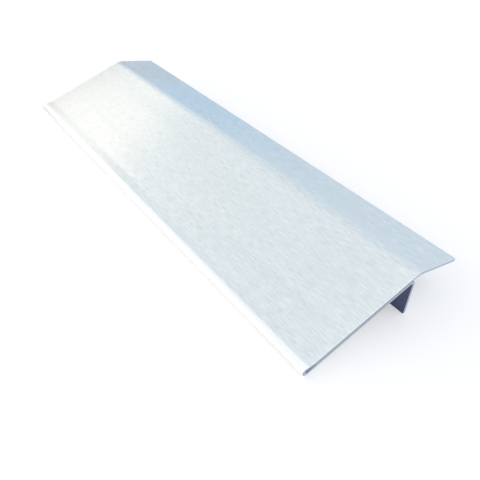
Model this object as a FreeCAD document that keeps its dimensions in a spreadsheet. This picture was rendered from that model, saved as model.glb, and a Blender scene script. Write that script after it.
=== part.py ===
"""Stainless steel transition profile: a ramp strip between two floors of different height.

It is one strip of sheet, folded and cut to length. The section, from the high floor to the
low one: a flange that lies on the high floor, a soft bend at the ridge, the ramp, and an
open hem at its front edge. The sheet comes back under the ramp as a second ply and turns
down into a leg, which stands on the low floor under the ridge.

Row frame: +X along the strip, +Y across it from the hem to the flange, +Z up, origin on
the low floor under the middle of the strip. Millimetres and degrees.
"""
import FreeCAD, Part
import os
from math import cos, radians, sin, tan

import Sketcher

# Driving dimensions, one spreadsheet row each: alias, value, meaning.
SIZES = [
    ("profile_length", 150.0, "length of the strip along X"),
    ("overall_width", 47.0, "from the nose of the hem to the edge of the flange"),
    ("overall_height", 11.8, "from the low floor to the top of the ridge"),
    ("sheet_thickness", 0.8, "thickness of the sheet"),
    ("ramp_angle", 17.7, "slope of the ramp"),
    ("flange_angle", 11.1, "downward slope of the flange, which springs on the high floor"),
    ("ridge_radius", 5.4, "inner radius of the bend at the ridge"),
    ("hem_length", 4.6, "from the nose of the hem to where its two plies close"),
    ("hem_radius", 0.3, "inner radius of the nose of the hem"),
    ("hem_lead_radius", 3.0, "outer radius of the hollow bend where the hem opens"),
    ("ply_gap", 0.08, "hairline between the two plies of the ramp"),
    ("leg_radius", 0.45, "inner radius of the bend into the leg"),
    ("leg_setback", 1.2, "from the ridge's centre line back to the leg's outer face"),
    ("leg_lean", 3.0, "how far the foot of the leg leans in under the ramp"),
]
NODE = "folded_strip"

# Ends of a sketch element, and the sketch's own horizontal axis and origin.
START, END, CENTRE = 1, 2, 3
AXIS = -1
ORIGIN = (AXIS, START)


def make_sizes(document):
    """Fill the spreadsheet with the driving dimensions."""
    sheet = document.addObject("Spreadsheet::Sheet", "Sizes")
    for row, (alias, value, meaning) in enumerate(SIZES, start=1):
        sheet.set(f"A{row}", alias)
        sheet.set(f"B{row}", str(value))
        sheet.set(f"C{row}", meaning)
        sheet.setAlias(f"B{row}", alias)
    document.recompute()
    return sheet


def rough_chain(sheet):
    """Lines and arcs of the outer face, roughly placed, for the sketch to pull into shape.

    The chain runs from the flange's edge over the ridge and down the ramp, round the nose
    of the hem, back under the ramp, and down the leg to the low floor.
    """
    slope = radians(sheet.ramp_angle)
    up_ramp = FreeCAD.Vector(cos(slope), sin(slope), 0)
    off_ramp = FreeCAD.Vector(-sin(slope), cos(slope), 0)
    across_plies = off_ramp * (2 * sheet.sheet_thickness + sheet.ply_gap)
    nose = FreeCAD.Vector(-sheet.overall_width / 2, 0, 0)
    ridge = nose + up_ramp * (sheet.overall_height / sin(slope))
    mouth = nose + up_ramp * sheet.hem_length + across_plies
    leg_top = ridge - across_plies
    foot = FreeCAD.Vector(leg_top.x, 0, 0)
    flange_run = sheet.overall_width / 2 - ridge.x
    flange_edge = ridge + FreeCAD.Vector(flange_run, -flange_run * tan(radians(sheet.flange_angle)), 0)

    def arc(side, corner, radius, first, last):
        """An arc near a corner, with its centre above it (+1) or below it (-1)."""
        centre = corner + FreeCAD.Vector(0, side * radius, 0)
        circle = Part.Circle(centre, FreeCAD.Vector(0, 0, 1), radius)
        return Part.ArcOfCircle(circle, radians(first), radians(last))

    ridge_radius = sheet.ridge_radius + sheet.sheet_thickness
    nose_radius = sheet.hem_radius + sheet.sheet_thickness
    up, down = 90, 270
    return {
        "flange": Part.LineSegment(flange_edge, ridge),
        "ridge": arc(-1, ridge, ridge_radius, up - sheet.flange_angle, up + sheet.ramp_angle),
        "ramp": Part.LineSegment(ridge, mouth),
        "lead": arc(1, mouth, sheet.hem_lead_radius, down, down + sheet.ramp_angle),
        "hem_top": Part.LineSegment(mouth, nose + across_plies),
        "nose": arc(1, nose, nose_radius, up, down + sheet.ramp_angle),
        "lower_ply": Part.LineSegment(nose, leg_top),
        "leg_bend": arc(-1, leg_top, sheet.leg_radius, 0, up + sheet.ramp_angle),
        "leg": Part.LineSegment(leg_top, foot),
    }


def draw_outer_face(document, sheet):
    """Sketch the sheet's outer face as seen from the end, each size tied to the spreadsheet."""
    sketch = document.addObject("Sketcher::SketchObject", "OuterFace")
    sketch_x_to_y_and_y_to_z = FreeCAD.Rotation(FreeCAD.Vector(1, 1, 1), 120)
    sketch.Placement = FreeCAD.Placement(FreeCAD.Vector(), sketch_x_to_y_and_y_to_z)

    chain = rough_chain(sheet)
    sketch.addGeometry(list(chain.values()), False)
    element = {name: index for index, name in enumerate(chain)}
    flange, ridge, ramp = element["flange"], element["ridge"], element["ramp"]
    lead, hem_top, nose = element["lead"], element["hem_top"], element["nose"]
    lower_ply, leg_bend, leg = element["lower_ply"], element["leg_bend"], element["leg"]

    joints = [
        (flange, END, ridge, START),
        (ridge, END, ramp, START),
        (ramp, END, lead, END),
        (lead, START, hem_top, START),
        (hem_top, END, nose, START),
        (nose, END, lower_ply, START),
        (lower_ply, END, leg_bend, END),
        (leg_bend, START, leg, START),
    ]
    for joint in joints:
        sketch.addConstraint(Sketcher.Constraint("Tangent", *joint))
    sketch.addConstraint(Sketcher.Constraint("Parallel", lower_ply, ramp))

    def bind(name, kind, elements, expression):
        """Add one dimension to the sketch and tie it to the spreadsheet."""
        value = float(sketch.evalExpression(expression))
        if kind == "Angle":
            value = radians(value)
        index = sketch.addConstraint(Sketcher.Constraint(kind, *elements, value))
        sketch.renameConstraint(index, name)
        sketch.setExpression(f"Constraints.{name}", expression)

    half_width = "Sizes.overall_width / 2"
    outer_nose = "(Sizes.hem_radius + Sizes.sheet_thickness)"
    outer_ridge = "(Sizes.ridge_radius + Sizes.sheet_thickness)"
    outer_leg_bend = "(Sizes.leg_radius + Sizes.sheet_thickness)"
    bind("flange_angle", "Angle", (flange, END, AXIS, START), "Sizes.flange_angle")
    bind("ramp_angle", "Angle", (AXIS, START, ramp, END), "Sizes.ramp_angle")
    bind("leg_angle", "Angle", (AXIS, START, leg, END), "90 - Sizes.leg_lean")
    bind("ridge_radius", "Radius", (ridge,), outer_ridge)
    bind("lead_radius", "Radius", (lead,), "Sizes.hem_lead_radius")
    bind("nose_radius", "Radius", (nose,), outer_nose)
    bind("leg_radius", "Radius", (leg_bend,), "Sizes.leg_radius")
    bind("nose_place", "DistanceX", (nose, CENTRE, *ORIGIN), f"{half_width} - {outer_nose}")
    bind("nose_height", "DistanceY", (*ORIGIN, nose, CENTRE), outer_nose)
    bind("flange_edge", "DistanceX", (*ORIGIN, flange, START), half_width)
    bind("ridge_height", "DistanceY", (*ORIGIN, ridge, CENTRE),
         f"Sizes.overall_height - {outer_ridge}")
    bind("hem_length", "Distance", (lead, END, nose, CENTRE), f"Sizes.hem_length - {outer_nose}")
    bind("plies", "Distance", (lower_ply, END, ramp),
         "2 * Sizes.sheet_thickness + Sizes.ply_gap")
    bind("leg_place", "DistanceX", (leg_bend, CENTRE, ridge, CENTRE),
         f"Sizes.leg_setback + {outer_leg_bend} * cos(Sizes.leg_lean)")
    bind("foot_height", "DistanceY", (*ORIGIN, leg, END),
         "Sizes.sheet_thickness * sin(Sizes.leg_lean)")
    return sketch


def fold_strip(document, outer_face):
    """Give the outer face the sheet's thickness and draw the section out along the strip."""
    section = document.addObject("Part::Offset2D", "Section")
    section.Source = outer_face
    section.Mode = "Skin"
    section.Join = "Arc"
    section.Fill = True
    section.setExpression("Value", "-Sizes.sheet_thickness")

    strip = document.addObject("Part::Extrusion", "FoldedStrip")
    strip.Label = NODE
    strip.Base = section
    strip.DirMode = "Custom"
    strip.Dir = FreeCAD.Vector(1, 0, 0)
    strip.Solid = True
    strip.Symmetric = True
    strip.setExpression("LengthFwd", "Sizes.profile_length")
    return strip


def check(document, strip):
    """Stop if an object of the document failed, or the strip isn't one valid solid."""
    for item in document.Objects:
        if "Invalid" in item.State or "Error" in item.State:
            raise RuntimeError(f"{item.Label} did not compute: {item.State}")
    shape = strip.Shape
    if shape.isNull() or not shape.isValid() or len(shape.Solids) != 1:
        raise RuntimeError(f"{strip.Label} is not one valid solid")


def main():
    """Build the strip and write it."""
    document = FreeCAD.newDocument("TransitionProfile")
    sheet = make_sizes(document)
    outer_face = draw_outer_face(document, sheet)
    strip = fold_strip(document, outer_face)
    document.recompute()
    check(document, strip)
    os.makedirs("parts", exist_ok=True)
    strip.Shape.exportStep(os.path.join("parts", f"{strip.Label}.step"))
    box = strip.Shape.BoundBox
    print(f"{strip.Label}: {strip.Shape.Volume:.1f} mm3, {box.XLength:.3f} x {box.YLength:.3f} x "
          f"{box.ZLength:.3f} mm, Y {box.YMin:.3f} to {box.YMax:.3f}, Z from {box.ZMin:.3f}")


main()
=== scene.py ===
"""Looks of the stainless steel transition profile: one folded strip of brushed sheet.

The strip is drawn the way it is made. A blank edge starts at the flange, is carried along
each flat and round each bend, and the finished section is then drawn out along X. Its box
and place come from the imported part, and everything is in metres in the part's own frame:
+X along the strip, +Y across it from the hem to the flange, +Z up.
"""
import logging
from dataclasses import dataclass, field
from enum import Enum
from math import asin, atan2, cos, degrees, hypot, radians, sin, sqrt
from typing import Any

import bmesh
import bpy
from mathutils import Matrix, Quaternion, Vector


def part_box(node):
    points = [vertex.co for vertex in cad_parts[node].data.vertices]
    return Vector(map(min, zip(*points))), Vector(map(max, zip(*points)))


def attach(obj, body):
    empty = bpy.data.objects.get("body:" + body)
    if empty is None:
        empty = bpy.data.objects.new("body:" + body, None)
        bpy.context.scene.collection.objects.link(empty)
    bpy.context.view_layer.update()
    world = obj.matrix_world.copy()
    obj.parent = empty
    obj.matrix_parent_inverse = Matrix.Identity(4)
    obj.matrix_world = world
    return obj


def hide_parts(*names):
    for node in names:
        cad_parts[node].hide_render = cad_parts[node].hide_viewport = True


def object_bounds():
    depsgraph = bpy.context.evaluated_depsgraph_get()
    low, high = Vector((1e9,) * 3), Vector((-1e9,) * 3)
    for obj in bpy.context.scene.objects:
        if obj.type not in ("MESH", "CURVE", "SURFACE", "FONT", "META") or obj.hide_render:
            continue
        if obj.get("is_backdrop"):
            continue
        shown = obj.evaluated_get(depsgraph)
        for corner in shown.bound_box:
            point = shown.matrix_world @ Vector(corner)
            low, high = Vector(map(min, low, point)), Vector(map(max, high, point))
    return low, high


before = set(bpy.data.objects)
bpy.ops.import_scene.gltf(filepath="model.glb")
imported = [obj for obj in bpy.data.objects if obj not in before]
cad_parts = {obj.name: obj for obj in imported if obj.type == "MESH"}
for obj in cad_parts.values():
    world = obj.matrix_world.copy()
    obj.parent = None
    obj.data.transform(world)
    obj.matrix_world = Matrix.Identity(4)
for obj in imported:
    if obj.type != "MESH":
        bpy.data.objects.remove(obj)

MM = 0.001
NODE = "folded_strip"
BODY = "root"
LENGTH_AXIS = Vector((1, 0, 0))

# A face looks along the strip, or upwards, when its normal's part that way is more than this.
SQUARE_TO_LENGTH = 0.9
FACES_UP = 0.2
# An edge of a cut is too deep in the fold for a file when both its ends are over this.
HALF_SHELTERED = 0.5

# Points, edges and faces are numbered by how far they lie this way, and no two tie.
NUMBERING = Vector((1, 0.7548777, 0.5698403))
# Watts that an area lamp needs for each square metre at a radiance of 1.
LAMP_WATTS = 4

# A colour Mix node has its two colours and its result at these numbers.
COLOUR_A, COLOUR_B, COLOUR_OUT = 6, 7, 2
# Nearly all of a noise texture lies between these values.
NOISE_LOW, NOISE_HIGH = 0.3, 0.7

log = logging.getLogger("transition_profile")


class Face(Enum):
    """Which finish a face of the strip takes, by its place in the material slots."""

    BRUSHED = 0
    MILL = 1
    CUT = 2
    ARRIS = 3


def linear(hex_colour: str) -> tuple[float, float, float, float]:
    """Turn an sRGB hex colour into the linear colour that shaders take.

    Args:
        hex_colour: six hex digits, with or without a leading #.

    Returns:
        Linear red, green, blue and an alpha of 1.
    """
    digits = hex_colour.lstrip("#")
    channels = [int(digits[i:i + 2], 16) / 255 for i in (0, 2, 4)]
    red, green, blue = [c / 12.92 if c <= 0.04045 else ((c + 0.055) / 1.055) ** 2.4 for c in channels]
    return red, green, blue, 1.0


def add_node(
    tree: bpy.types.NodeTree,
    kind: str,
    settings: dict[str, Any] | None = None,
    inputs: dict[Any, Any] | None = None,
) -> bpy.types.Node:
    """Add a node, set its properties, and fill its inputs.

    Args:
        tree: the node tree that the node joins.
        kind: the node's bl_idname.
        settings: attributes of the node itself.
        inputs: input name or number to the output socket that feeds it, or to a fixed value.

    Returns:
        The new node.
    """
    node = tree.nodes.new(kind)
    for name, value in (settings or {}).items():
        setattr(node, name, value)
    for name, value in (inputs or {}).items():
        if isinstance(value, bpy.types.NodeSocket):
            tree.links.new(value, node.inputs[name])
        else:
            node.inputs[name].default_value = value
    return node


def new_material(name: str) -> tuple[bpy.types.Material, bpy.types.NodeTree, bpy.types.Node]:
    """Make an empty node material.

    Args:
        name: the finish's name.

    Returns:
        The material, its node tree and its output node.
    """
    material = bpy.data.materials.new(name)
    material.use_nodes = True
    tree = material.node_tree
    tree.nodes.clear()
    return material, tree, tree.nodes.new("ShaderNodeOutputMaterial")


def painted_fold_shade(
    tree: bpy.types.NodeTree, unshaded: bpy.types.NodeSocket, painted_shade: str,
) -> bpy.types.NodeSocket:
    """Paint shade into a colour where the fold shelters the sheet.

    Args:
        tree: the material's node tree.
        unshaded: the socket with the sheet's colour before the painted shade.
        painted_shade: the colour of the painted shade deep in the fold.

    Returns:
        The socket with the colour.
    """
    shelter = add_node(tree, "ShaderNodeAttribute", {"attribute_name": "shelter"})
    with_shade = add_node(tree, "ShaderNodeMix", {"data_type": "RGBA"}, {
        "Factor": shelter.outputs["Fac"], COLOUR_A: unshaded, COLOUR_B: linear(painted_shade),
    })
    return with_shade.outputs[COLOUR_OUT]


@dataclass(frozen=True)
class BrushedStainless:
    """Satin stainless sheet, belt-brushed along the strip while it was still flat.

    The grain gives fine pale and dark lines along the length and drags highlights out
    across them. The lines follow the sheet round its bends, so they read the UV map, in
    which U is the distance along the strip and V the distance across the flat sheet.
    The nose of the hem carries a painted highlight, almost white, and painted shade darkens the sheet
    where the fold shelters it.
    """

    steel: str = "#EAF0F1"
    scratch: str = "#D7DFE2"
    # Colour of the painted highlight on the hem's nose.
    burnish_and_highlight: str = "#FDFEFE"
    # Colour of the painted shade deep in the fold.
    painted_shade: str = "#4E546C"
    roughness: float = 0.32
    roughness_swing: float = 0.10
    anisotropy: float = 0.6
    # Belt grain is about 0.1 mm apart. It is drawn 0.3 mm apart, so that it shows.
    grain_pitch: float = 0.3 * MM
    grain_length: float = 3.2 * MM
    # Long soft bands where the belt pressed harder.
    band_pitch: float = 3 * MM
    band_length: float = 60 * MM
    band_share: float = 0.2
    grain_depth: float = 0.003 * MM
    grain_detail: float = 3.0
    grain_sharpness: float = 0.6
    # The noise between these values spans the steel's two shades.
    shade_low: float = 0.35
    shade_high: float = 0.65
    # A quarter turn of the tangent, so that highlights spread across the grain.
    quarter_turn: float = 0.25

    def streaks(self, tree: bpy.types.NodeTree, length: float, pitch: float) -> bpy.types.NodeSocket:
        """Noise drawn out along the strip.

        Args:
            tree: the material's node tree.
            length: typical length of a streak.
            pitch: typical spacing of the streaks.

        Returns:
            The socket with the noise, about 0.5 on average.
        """
        sheet = add_node(tree, "ShaderNodeUVMap", {"uv_map": "sheet"})
        drawn = add_node(tree, "ShaderNodeMapping", inputs={
            "Vector": sheet.outputs["UV"], "Scale": (1 / length, 1 / pitch, 1),
        })
        noise = add_node(tree, "ShaderNodeTexNoise", {"noise_dimensions": "2D"}, {
            "Vector": drawn.outputs["Vector"], "Scale": 1.0,
            "Detail": self.grain_detail, "Roughness": self.grain_sharpness,
        })
        return noise.outputs["Fac"]

    def material(self) -> bpy.types.Material:
        """Build the material.

        Returns:
            The finish of the sheet's front.
        """
        material, tree, output = new_material("brushed_stainless_sheet")
        grain = self.streaks(tree, self.grain_length, self.grain_pitch)
        bands = self.streaks(tree, self.band_length, self.band_pitch)
        worn = add_node(tree, "ShaderNodeMix",
                        inputs={"Factor": self.band_share, "A": grain, "B": bands})
        shade = add_node(tree, "ShaderNodeMapRange", inputs={
            "Value": worn.outputs[0], "From Min": self.shade_low, "From Max": self.shade_high,
        })
        colour = add_node(tree, "ShaderNodeMix", {"data_type": "RGBA"}, {
            "Factor": shade.outputs[0],
            COLOUR_A: linear(self.scratch), COLOUR_B: linear(self.steel),
        })
        # Painted highlight: the nose of the hem is blended to near-white where its mark is set.
        highlight_mask = add_node(tree, "ShaderNodeAttribute", {"attribute_name": "painted_highlight"})
        with_highlight = add_node(tree, "ShaderNodeMix", {"data_type": "RGBA"}, {
            "Factor": highlight_mask.outputs["Fac"],
            COLOUR_A: colour.outputs[COLOUR_OUT], COLOUR_B: linear(self.burnish_and_highlight),
        })
        gloss = add_node(tree, "ShaderNodeMapRange", inputs={
            "Value": grain, "From Min": NOISE_LOW, "From Max": NOISE_HIGH,
            "To Min": self.roughness - self.roughness_swing / 2,
            "To Max": self.roughness + self.roughness_swing / 2,
        })
        bump = add_node(tree, "ShaderNodeBump",
                        inputs={"Height": grain, "Strength": 1.0, "Distance": self.grain_depth})
        along = add_node(tree, "ShaderNodeTangent", {"direction_type": "UV_MAP", "uv_map": "sheet"})
        # Painted shade darkens the colour where the fold shelters the sheet.
        shader = add_node(tree, "ShaderNodeBsdfPrincipled", inputs={
            "Base Color": painted_fold_shade(tree, with_highlight.outputs[COLOUR_OUT], self.painted_shade),
            "Roughness": gloss.outputs[0], "Normal": bump.outputs[0], "Tangent": along.outputs[0],
            "Metallic": 1.0, "Anisotropic": self.anisotropy,
            "Anisotropic Rotation": self.quarter_turn,
        })
        tree.links.new(shader.outputs[0], output.inputs["Surface"])
        return material


@dataclass(frozen=True)
class MillStainless:
    """Back of the sheet, left as it came from the rolls: a 2B mill finish.

    It is smooth and greyer than the brushed front, with a soft cloudiness and no grain.
    """

    steel: str = "#D3D8DB"
    cloud: str = "#BEC4C9"
    # Colour of the painted shade deep in the fold.
    painted_shade: str = "#4E546C"
    roughness: float = 0.3
    roughness_swing: float = 0.08
    cloud_size: float = 9 * MM
    cloud_detail: float = 3.0

    def material(self) -> bpy.types.Material:
        """Build the material.

        Returns:
            The finish of the sheet's back.
        """
        material, tree, output = new_material("mill_finish_stainless")
        place = add_node(tree, "ShaderNodeTexCoord")
        clouds = add_node(tree, "ShaderNodeTexNoise", inputs={
            "Vector": place.outputs["Object"],
            "Scale": 1 / self.cloud_size, "Detail": self.cloud_detail,
        })
        colour = add_node(tree, "ShaderNodeMix", {"data_type": "RGBA"}, {
            "Factor": clouds.outputs["Fac"],
            COLOUR_A: linear(self.cloud), COLOUR_B: linear(self.steel),
        })
        gloss = add_node(tree, "ShaderNodeMapRange", inputs={
            "Value": clouds.outputs["Fac"], "From Min": NOISE_LOW, "From Max": NOISE_HIGH,
            "To Min": self.roughness - self.roughness_swing / 2,
            "To Max": self.roughness + self.roughness_swing / 2,
        })
        # Painted shade darkens the colour where the fold shelters the sheet.
        shader = add_node(tree, "ShaderNodeBsdfPrincipled", inputs={
            "Base Color": painted_fold_shade(tree, colour.outputs[COLOUR_OUT], self.painted_shade),
            "Roughness": gloss.outputs[0], "Metallic": 1.0,
        })
        tree.links.new(shader.outputs[0], output.inputs["Surface"])
        return material


@dataclass(frozen=True)
class ShearedEdge:
    """Edge of stainless sheet cut by a guillotine, not brushed afterwards.

    The blade burnishes the side that it enters, which is the outer face, and the rest
    breaks away with a duller torn grain across the thickness. The UV map runs from 0 at
    the outer face to 1 at the inner face in U, and along the edge in metres in V.
    """

    burnish_and_highlight: str = "#ADB5C1"
    torn: str = "#BCC5CE"
    roughness: float = 0.42
    tear_pitch: float = 0.25 * MM
    tears_across: float = 1.5
    tear_detail: float = 2.0
    tear_depth: float = 0.01 * MM
    tear_relief: float = 0.6
    # The burnished side gives way to the torn one over this part of the thickness, and the
    # tears shift that line by up to the raggedness.
    raggedness: float = 0.35
    break_start: float = 0.45
    break_end: float = 0.75

    def material(self) -> bpy.types.Material:
        """Build the material.

        Returns:
            The finish of the cut edges.
        """
        material, tree, output = new_material("sheared_stainless_edge")
        edge = add_node(tree, "ShaderNodeUVMap", {"uv_map": "edge"})
        split = add_node(tree, "ShaderNodeSeparateXYZ", inputs={"Vector": edge.outputs["UV"]})
        drawn = add_node(tree, "ShaderNodeMapping", inputs={
            "Vector": edge.outputs["UV"], "Scale": (self.tears_across, 1 / self.tear_pitch, 1),
        })
        tears = add_node(tree, "ShaderNodeTexNoise", {"noise_dimensions": "2D"}, {
            "Vector": drawn.outputs["Vector"], "Scale": 1.0, "Detail": self.tear_detail,
        })
        ragged = add_node(tree, "ShaderNodeMath", {"operation": "MULTIPLY_ADD"},
                          {0: tears.outputs["Fac"], 1: self.raggedness, 2: split.outputs["X"]})
        break_line = add_node(tree, "ShaderNodeMapRange", inputs={
            "Value": ragged.outputs[0], "From Min": self.break_start, "From Max": self.break_end,
        })
        colour = add_node(tree, "ShaderNodeMix", {"data_type": "RGBA"}, {
            "Factor": break_line.outputs[0],
            COLOUR_A: linear(self.burnish_and_highlight), COLOUR_B: linear(self.torn),
        })
        bump = add_node(tree, "ShaderNodeBump", inputs={
            "Height": tears.outputs["Fac"],
            "Strength": self.tear_relief, "Distance": self.tear_depth,
        })
        shader = add_node(tree, "ShaderNodeBsdfPrincipled", inputs={
            "Base Color": colour.outputs[COLOUR_OUT], "Normal": bump.outputs[0],
            "Metallic": 1.0, "Roughness": self.roughness,
        })
        tree.links.new(shader.outputs[0], output.inputs["Surface"])
        return material


@dataclass(frozen=True)
class FiledArrisHighlight:
    """Arris of the cut edge, where a fine file took the burr off.

    It is a hair-thin near-white line, partly filed polish and partly painted highlight, and only the
    arris faces that look upwards take it.
    """

    polish_and_highlight: str = "#EEF1F5"
    roughness: float = 0.28
    roughness_swing: float = 0.16
    file_pitch: float = 0.6 * MM
    file_detail: float = 2.0

    def material(self) -> bpy.types.Material:
        """Build the material.

        Returns:
            The finish of the broken corners.
        """
        material, tree, output = new_material("filed_arris_and_painted_glint")
        place = add_node(tree, "ShaderNodeTexCoord")
        strokes = add_node(tree, "ShaderNodeTexNoise", inputs={
            "Vector": place.outputs["Object"],
            "Scale": 1 / self.file_pitch, "Detail": self.file_detail,
        })
        gloss = add_node(tree, "ShaderNodeMapRange", inputs={
            "Value": strokes.outputs["Fac"], "From Min": NOISE_LOW, "From Max": NOISE_HIGH,
            "To Min": self.roughness - self.roughness_swing / 2,
            "To Max": self.roughness + self.roughness_swing / 2,
        })
        shader = add_node(tree, "ShaderNodeBsdfPrincipled", inputs={
            "Base Color": linear(self.polish_and_highlight), "Roughness": gloss.outputs[0], "Metallic": 1.0,
        })
        tree.links.new(shader.outputs[0], output.inputs["Surface"])
        return material


@dataclass
class SheetPen:
    """Draws a folded sheet's section by carrying a blank edge along flats and round bends.

    The edge joins an outer and an inner point across the sheet's thickness. The heading is
    measured from +Y towards +Z, and the inner point is on its left.
    """

    mesh: bmesh.types.BMesh
    start: Vector
    heading: float
    thickness: float
    developed: float = 0.0

    def __post_init__(self) -> None:
        """Place the blank edge at the start, and make room for the marks on the points."""
        self.across = self.mesh.verts.layers.float.new("across")
        self.travelled = self.mesh.verts.layers.float.new("developed")
        # The shelter mark drives the painted shade in the fold, and the mark below it drives the
        # painted highlight on the hem's nose.
        self.shelter = self.mesh.verts.layers.float.new("shelter")
        self.painted_highlight = self.mesh.verts.layers.float.new("painted_highlight")
        self.sheltered = (0.0, 0.0)
        self.burnish_and_highlight = 0.0
        outer = self.mesh.verts.new(self.start)
        inner = self.mesh.verts.new(self.start + self.left() * self.thickness)
        self.first_edge = self.mesh.edges.new((outer, inner))
        self._advance(self.first_edge, 0)

    def ahead(self) -> Vector:
        """Unit vector along the heading."""
        return Vector((0, cos(radians(self.heading)), sin(radians(self.heading))))

    def left(self) -> Vector:
        """Unit vector from the outer face to the inner face."""
        return Vector((0, -sin(radians(self.heading)), cos(radians(self.heading))))

    def _advance(self, edge: bmesh.types.BMEdge, travel: float) -> None:
        """Take a new edge as the current one and mark its two points.

        Args:
            edge: the edge.
            travel: how much flat sheet it took to get there.
        """
        self.edge = edge
        self.developed += travel
        self.outer, self.inner = sorted(edge.verts, key=lambda point: point.co.dot(self.left()))
        for place, point in enumerate((self.outer, self.inner)):
            point[self.across] = place
            point[self.travelled] = self.developed
            point[self.shelter] = self.sheltered[place]
            point[self.painted_highlight] = self.burnish_and_highlight

    def straight(self, length: float) -> None:
        """Carry the edge forward.

        Args:
            length: how far.
        """
        made = bmesh.ops.extrude_edge_only(self.mesh, edges=[self.edge])["geom"]
        points = [item for item in made if isinstance(item, bmesh.types.BMVert)]
        bmesh.ops.translate(self.mesh, verts=points, vec=self.ahead() * length)
        across = next(item for item in made
                      if isinstance(item, bmesh.types.BMEdge) and set(item.verts) == set(points))
        self._advance(across, length)

    def flat(self, length: float, land: float) -> None:
        """Draw a flat, with a narrow land at each end that keeps its shading flat.

        Args:
            length: length of the flat.
            land: width of each land.
        """
        self.straight(land)
        self.straight(length - 2 * land)
        self.straight(land)

    def bend(self, turn: float, radius: float, steps: int) -> None:
        """Carry the edge round a bend.

        Args:
            turn: degrees, positive to the left, towards the inner face.
            radius: radius on the inside of the bend.
            steps: how many facets the bend has.
        """
        side = 1 if turn > 0 else -1
        hollow = self.inner if turn > 0 else self.outer
        centre = hollow.co + self.left() * (radius * side)
        travel = radians(abs(turn)) * (radius + self.thickness / 2) / steps
        for _ in range(steps):
            spun = bmesh.ops.spin(self.mesh, geom=[self.edge, *self.edge.verts], cent=centre,
                                  axis=LENGTH_AXIS, angle=radians(turn) / steps, steps=1)
            self.heading += turn / steps
            self._advance(next(item for item in spun["geom_last"]
                               if isinstance(item, bmesh.types.BMEdge)), travel)


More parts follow.
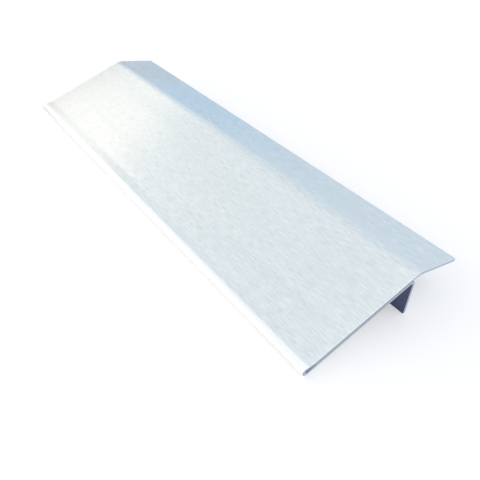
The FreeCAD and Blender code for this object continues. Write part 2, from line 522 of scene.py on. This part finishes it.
@dataclass
class FoldedStrip:
    """The whole object: one strip of sheet folded into flange, ramp, hem and leg."""

    thickness: float = 0.8 * MM
    ramp_angle: float = 17.7
    flange_angle: float = 11.1
    ridge_radius: float = 5.4 * MM
    hem_length: float = 4.6 * MM
    hem_radius: float = 0.3 * MM
    lead_radius: float = 3.0 * MM
    ply_gap: float = 0.08 * MM
    leg_radius: float = 0.45 * MM
    leg_setback: float = 1.2 * MM
    leg_lean: float = 3.0
    land: float = 0.2 * MM
    # How much of the lower ply, from the nose on, is open enough to get no painted shade.
    open_share: float = 0.6
    # The painted highlight on the hem runs this far up from the nose,
    # and fades out over this much more.
    highlight_band: float = 0.35 * MM
    highlight_fade: float = 0.55 * MM
    # The cut edges are deburred, and the corners are just broken.
    arris: float = 0.07 * MM
    arris_facets: int = 2
    # How many facets each bend has.
    ridge_facets: int = 14
    lead_facets: int = 6
    nose_facets: int = 28
    leg_facets: int = 16
    finishes: dict[Face, bpy.types.Material] = field(default_factory=dict)

    def draw_section(self, pen_mesh: bmesh.types.BMesh, low: Vector, high: Vector) -> SheetPen:
        """Draw the section at the strip's low X end.

        Args:
            pen_mesh: the mesh to draw in.
            low: the part's lowest corner.
            high: the part's highest corner.

        Returns:
            The pen, with the points that it drew.
        """
        slope, fall, lean = radians(self.ramp_angle), radians(self.flange_angle), radians(self.leg_lean)
        up_ramp = Vector((0, cos(slope), sin(slope)))
        off_ramp = Vector((0, -sin(slope), cos(slope)))
        nose_radius = self.hem_radius + self.thickness
        ridge_radius = self.ridge_radius + self.thickness
        plies = 2 * self.thickness + self.ply_gap
        nose = Vector((low.x, low.y + nose_radius, low.z + nose_radius))

        # The ridge's centre is a ridge radius under both the top and the ramp's outer face.
        ridge_z = high.z - ridge_radius
        rise = ridge_z - nose.z
        lift = plies - nose_radius - ridge_radius
        ridge = Vector((low.x, nose.y + (rise * cos(slope) - lift) / sin(slope), ridge_z))

        # The hem's top is the straight line that touches the nose and the bend into the hem.
        mouth_height = plies - nose_radius
        mouth = sqrt((self.hem_length - nose_radius) ** 2 - mouth_height ** 2)
        reach = hypot(mouth, mouth_height + self.lead_radius)
        touching = self.lead_radius + nose_radius
        opening = asin(touching / reach) - atan2(mouth_height + self.lead_radius, mouth)
        hem_top = sqrt(reach ** 2 - touching ** 2)

        leg_bend_y = ridge.y - self.leg_setback - (self.leg_radius + self.thickness) * cos(lean)
        lower_run = ((leg_bend_y - nose.y) - (nose_radius + self.leg_radius) * sin(slope)) / cos(slope)
        leg_bend = nose + up_ramp * lower_run - off_ramp * (nose_radius + self.leg_radius)
        foot_z = low.z + self.thickness * sin(lean)
        leg_top_z = leg_bend.z - self.leg_radius * sin(lean)

        flange_normal = Vector((0, sin(fall), cos(fall)))
        flange_start = ridge + flange_normal * ridge_radius
        flange = (high.y - flange_start.y) / cos(fall)
        flange_edge = flange_start + Vector((0, cos(fall), -sin(fall))) * flange
        ramp = (ridge - nose).dot(up_ramp) - mouth

        pen = SheetPen(pen_mesh, flange_edge, 180 - self.flange_angle, self.thickness)
        pen.flat(flange, self.land)
        pen.bend(self.flange_angle + self.ramp_angle, self.ridge_radius, self.ridge_facets)
        pen.flat(ramp, self.land)
        # The shelter marks set where painted shade darkens the sheet, beginning with the hem's inner
        # face.
        pen.sheltered = (0.0, 1.0)
        pen.bend(-degrees(opening), self.lead_radius, self.lead_facets)
        pen.straight(hem_top - self.highlight_band - self.highlight_fade)
        # The painted highlight on the hem's nose begins here and fades in over the first step.
        pen.burnish_and_highlight = 1.0
        pen.straight(self.highlight_fade)
        pen.straight(self.highlight_band)
        pen.bend(180 + degrees(opening), self.hem_radius, self.nose_facets)
        pen.burnish_and_highlight = 0.0
        pen.flat(lower_run * self.open_share, self.land)
        pen.sheltered = (1.0, 1.0)
        pen.straight(lower_run * (1 - self.open_share) - self.land)
        pen.straight(self.land)
        pen.bend(-(90 + self.ramp_angle + self.leg_lean), self.leg_radius, self.leg_facets)
        pen.sheltered = (1.0, 0.0)
        pen.flat((leg_top_z - foot_z) / cos(lean), self.land)
        return pen

    def map_faces(self, mesh: bmesh.types.BMesh) -> None:
        """Fill the sheet map and the edge map from the marks on the points.

        Args:
            mesh: the drawn-out strip.
        """
        across = mesh.verts.layers.float["across"]
        developed = mesh.verts.layers.float["developed"]
        sheet_map = mesh.loops.layers.uv["sheet"]
        edge_map = mesh.loops.layers.uv["edge"]
        for face in mesh.faces:
            along_edge = self.is_end(face)
            for loop in face.loops:
                point = loop.vert
                loop[sheet_map].uv = point.co.x, point[developed]
                loop[edge_map].uv = point[across], point[developed] if along_edge else point.co.x

    def is_end(self, face: bmesh.types.BMFace) -> bool:
        """Whether a face looks along the strip."""
        return abs(face.normal.dot(LENGTH_AXIS)) > SQUARE_TO_LENGTH

    def break_arrises(self, mesh: bmesh.types.BMesh) -> None:
        """Take the sharp corner off both ends and give the new narrow faces their finish.

        Args:
            mesh: the drawn-out strip.
        """
        shelter = mesh.verts.layers.float["shelter"]
        corners = [edge for edge in mesh.edges
                   if sum(self.is_end(face) for face in edge.link_faces) == 1
                   and min(point[shelter] for point in edge.verts) < HALF_SHELTERED]
        filed = bmesh.ops.bevel(mesh, geom=corners, offset=self.arris, offset_type="OFFSET",
                                segments=self.arris_facets, profile=0.5, affect="EDGES",
                                material=-1)
        for face in filed["faces"]:
            # Only the upward-facing arris faces take the near-white finish, a painted highlight, and
            # the others keep the finish of the faces beside them.
            if face.normal.z > FACES_UP:
                face.material_index = Face.ARRIS.value

    def number(self, mesh: bmesh.types.BMesh) -> None:
        """Number the points, edges and faces by their place, so that every run numbers them alike.

        Args:
            mesh: the finished strip.
        """
        mesh.verts.sort(key=lambda point: point.co.dot(NUMBERING))
        mesh.edges.sort(key=lambda edge: sum(point.co.dot(NUMBERING) for point in edge.verts))
        mesh.faces.sort(key=lambda face: face.calc_center_median().dot(NUMBERING))

    def build(self) -> bpy.types.Object:
        """Build the strip as one closed mesh and dress it.

        Returns:
            The strip's object.
        """
        low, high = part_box(NODE)
        mesh = bmesh.new()
        for chart in ("sheet", "edge"):
            mesh.loops.layers.uv.new(chart)
        pen = self.draw_section(mesh, low, high)
        cut_edges = [pen.first_edge, pen.edge]

        drawn = bmesh.ops.extrude_face_region(mesh, geom=list(mesh.faces))["geom"]
        far_points = [item for item in drawn if isinstance(item, bmesh.types.BMVert)]
        bmesh.ops.translate(mesh, verts=far_points, vec=LENGTH_AXIS * (high.x - low.x))
        bmesh.ops.recalc_face_normals(mesh, faces=mesh.faces)
        across = mesh.verts.layers.float["across"]
        for face in mesh.faces:
            is_cut = self.is_end(face) or any(edge in cut_edges for edge in face.edges)
            side = Face.MILL if all(point[across] for point in face.verts) else Face.BRUSHED
            face.material_index = (Face.CUT if is_cut else side).value
            face.smooth = not self.is_end(face)
        self.map_faces(mesh)
        self.break_arrises(mesh)
        self.number(mesh)

        data = bpy.data.meshes.new("transition_strip")
        mesh.to_mesh(data)
        log.info("%d faces, %d open edges", len(mesh.faces), sum(not e.is_manifold for e in mesh.edges))
        mesh.free()
        strip = bpy.data.objects.new("transition_strip", data)
        bpy.context.scene.collection.objects.link(strip)
        for finish in Face:
            data.materials.append(self.finishes[finish])
        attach(strip, BODY)
        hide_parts(NODE)
        return strip


@dataclass(frozen=True)
class SoftLamp:
    """A softbox that looks at the strip."""

    name: str
    azimuth: float
    elevation: float
    distance: float
    width: float
    height: float
    radiance: float
    colour: str

    def hang(self, centre: Vector) -> bpy.types.Object:
        """Hang the lamp round a point and turn it there.

        Args:
            centre: the point that it looks at.

        Returns:
            The lamp.
        """
        light = bpy.data.lights.new(self.name, "AREA")
        light.shape = "RECTANGLE"
        light.size = self.width
        light.size_y = self.height
        light.energy = LAMP_WATTS * self.radiance * self.width * self.height
        light.color = linear(self.colour)[:3]
        lamp = bpy.data.objects.new(self.name, light)
        turn, lift = radians(self.azimuth), radians(self.elevation)
        away = Vector((cos(turn) * cos(lift), sin(turn) * cos(lift), sin(lift)))
        lamp.location = centre + away * self.distance
        lamp.rotation_euler = away.to_track_quat("Z", "Y").to_euler()
        bpy.context.scene.collection.objects.link(lamp)
        return lamp


@dataclass
class Studio:
    """Plain pale floor, soft lamps, white surroundings and the camera."""

    floor_side: float = 8.0
    floor_colour: str = "#CDCDCF"
    floor_lift: float = 0.43
    sky: str = "#FFFFFF"
    cool_side: str = "#9FCBEE"
    sky_light: float = 0.85
    # The cool tint comes in as a direction turns aside to either hand.
    side_tint: float = 0.22
    side_start: float = 0.03
    side_end: float = 0.35
    # On the flange's side there is more of it, most of all at the horizon.
    low_tint: float = 0.95
    low_height: float = 0.42
    flange_start: float = 0.25
    flange_end: float = 0.55
    lamps: tuple[SoftLamp, ...] = (
        SoftLamp("window", 209, 19, 1.6, 2.6, 0.9, 0.28, "#FFE3C2"),
        SoftLamp("side_window", 239, 26, 1.6, 2.2, 1.0, 0.75, "#FFEBD2"),
        SoftLamp("top", 30, 62, 1.8, 1.0, 1.0, 1.0, "#FFFFFF"),
    )
    eye: Vector = field(default_factory=lambda: Vector((121.675, -74.859, 92.577)) * MM)
    target: Vector = field(default_factory=lambda: Vector((31.069, -7.702, 0)) * MM)
    roll: float = 1.119
    lens: float = 40.18
    nearest: float = 10 * MM

    def seen(self, tree: bpy.types.NodeTree) -> bpy.types.NodeSocket:
        """One for rays from the camera, off metal or through glass, and nought for the rest.

        Args:
            tree: the node tree that asks.

        Returns:
            The socket with the answer.
        """
        path = add_node(tree, "ShaderNodeLightPath")
        direct = add_node(tree, "ShaderNodeMath", {"operation": "MAXIMUM"},
                          {0: path.outputs["Is Camera Ray"], 1: path.outputs["Is Glossy Ray"]})
        either = add_node(tree, "ShaderNodeMath", {"operation": "MAXIMUM"},
                          {0: direct.outputs[0], 1: path.outputs["Is Transmission Ray"]})
        return either.outputs[0]

    def lay_floor(self, centre: Vector) -> None:
        """Lay the floor under the strip.

        Args:
            centre: the middle of the strip's underside.
        """
        material, tree, output = new_material("pale_studio_floor")
        paper = add_node(tree, "ShaderNodeBsdfDiffuse", inputs={"Color": linear(self.floor_colour)})
        lift = add_node(tree, "ShaderNodeMath", {"operation": "MULTIPLY"},
                        {0: self.seen(tree), 1: self.floor_lift})
        glow = add_node(tree, "ShaderNodeEmission", inputs={"Strength": lift.outputs[0]})
        both = add_node(tree, "ShaderNodeAddShader", inputs={0: paper.outputs[0], 1: glow.outputs[0]})
        side = add_node(tree, "ShaderNodeNewGeometry")
        clear = add_node(tree, "ShaderNodeBsdfTransparent")
        one_sided = add_node(tree, "ShaderNodeMixShader", inputs={
            0: side.outputs["Backfacing"], 1: both.outputs[0], 2: clear.outputs[0],
        })
        tree.links.new(one_sided.outputs[0], output.inputs["Surface"])

        mesh = bmesh.new()
        bmesh.ops.create_grid(mesh, x_segments=1, y_segments=1, size=self.floor_side / 2)
        bmesh.ops.translate(mesh, verts=mesh.verts, vec=centre)
        data = bpy.data.meshes.new("floor")
        mesh.to_mesh(data)
        mesh.free()
        data.materials.append(material)
        floor = bpy.data.objects.new("floor", data)
        bpy.context.scene.collection.objects.link(floor)
        floor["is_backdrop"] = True

    def surround(self) -> None:
        """Make the surroundings white to look at and plain soft light to stand in."""
        world = bpy.data.worlds.new("studio")
        world.use_nodes = True
        tree = world.node_tree
        tree.nodes.clear()
        path = add_node(tree, "ShaderNodeLightPath")
        way = add_node(tree, "ShaderNodeTexCoord")
        split = add_node(tree, "ShaderNodeSeparateXYZ", inputs={"Vector": way.outputs["Generated"]})
        smooth = {"interpolation_type": "SMOOTHSTEP"}
        aside = add_node(tree, "ShaderNodeMath", {"operation": "ABSOLUTE"}, {0: split.outputs["Y"]})
        sides = add_node(tree, "ShaderNodeMapRange", smooth, {
            "Value": aside.outputs[0], "From Min": self.side_start, "From Max": self.side_end,
            "To Max": self.side_tint,
        })
        low = add_node(tree, "ShaderNodeMapRange", smooth, {
            "Value": split.outputs["Z"], "From Min": self.low_height, "From Max": 0.0,
            "To Max": self.low_tint,
        })
        flange = add_node(tree, "ShaderNodeMapRange", smooth, {
            "Value": split.outputs["Y"], "From Min": self.flange_start, "From Max": self.flange_end,
            "To Max": low.outputs[0],
        })
        cool = add_node(tree, "ShaderNodeMath", {"operation": "ADD"},
                        {0: sides.outputs[0], 1: flange.outputs[0]})
        hidden = add_node(tree, "ShaderNodeMapRange", inputs={
            "Value": path.outputs["Is Camera Ray"], "To Min": cool.outputs[0], "To Max": 0.0,
        })
        colour = add_node(tree, "ShaderNodeMix", {"data_type": "RGBA"}, {
            "Factor": hidden.outputs[0],
            COLOUR_A: linear(self.sky), COLOUR_B: linear(self.cool_side),
        })
        strength = add_node(tree, "ShaderNodeMapRange", inputs={
            "Value": self.seen(tree), "To Min": self.sky_light, "To Max": 1.0,
        })
        air = add_node(tree, "ShaderNodeBackground", inputs={
            "Strength": strength.outputs[0], "Color": colour.outputs[COLOUR_OUT],
        })
        output = add_node(tree, "ShaderNodeOutputWorld")
        tree.links.new(air.outputs[0], output.inputs["Surface"])
        bpy.context.scene.world = world

    def place_camera(self, centre: Vector) -> None:
        """Place the camera over the near end, looking along the strip.

        Args:
            centre: the middle of the strip's underside.
        """
        data = bpy.data.cameras.new("camera")
        data.lens = self.lens
        data.clip_start = self.nearest
        camera = bpy.data.objects.new("camera", data)
        camera.location = centre + self.eye
        view = (self.target - self.eye).to_track_quat("-Z", "Y")
        tilt = Quaternion((0, 0, 1), radians(self.roll))
        camera.rotation_euler = (view @ tilt).to_euler()
        bpy.context.scene.collection.objects.link(camera)
        bpy.context.scene.camera = camera

    def build(self) -> None:
        """Set up the whole studio round the part."""
        low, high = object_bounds()
        centre = Vector(((low.x + high.x) / 2, (low.y + high.y) / 2, low.z))
        self.lay_floor(centre)
        self.surround()
        self.place_camera(centre)
        for lamp in self.lamps:
            lamp.hang(centre)
        bpy.context.scene.view_settings.view_transform = "Standard"


def main() -> None:
    """Build the strip and the studio."""
    logging.basicConfig(level=logging.INFO, format="%(name)s: %(message)s")
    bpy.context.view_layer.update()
    finishes = {
        Face.BRUSHED: BrushedStainless().material(),
        Face.MILL: MillStainless().material(),
        Face.CUT: ShearedEdge().material(),
        Face.ARRIS: FiledArrisHighlight().material(),
    }
    strip = FoldedStrip(finishes=finishes).build()
    log.info("built %s", strip.name)
    Studio().build()
    log.info("set up the studio")


if __name__ == "__main__":
    main()
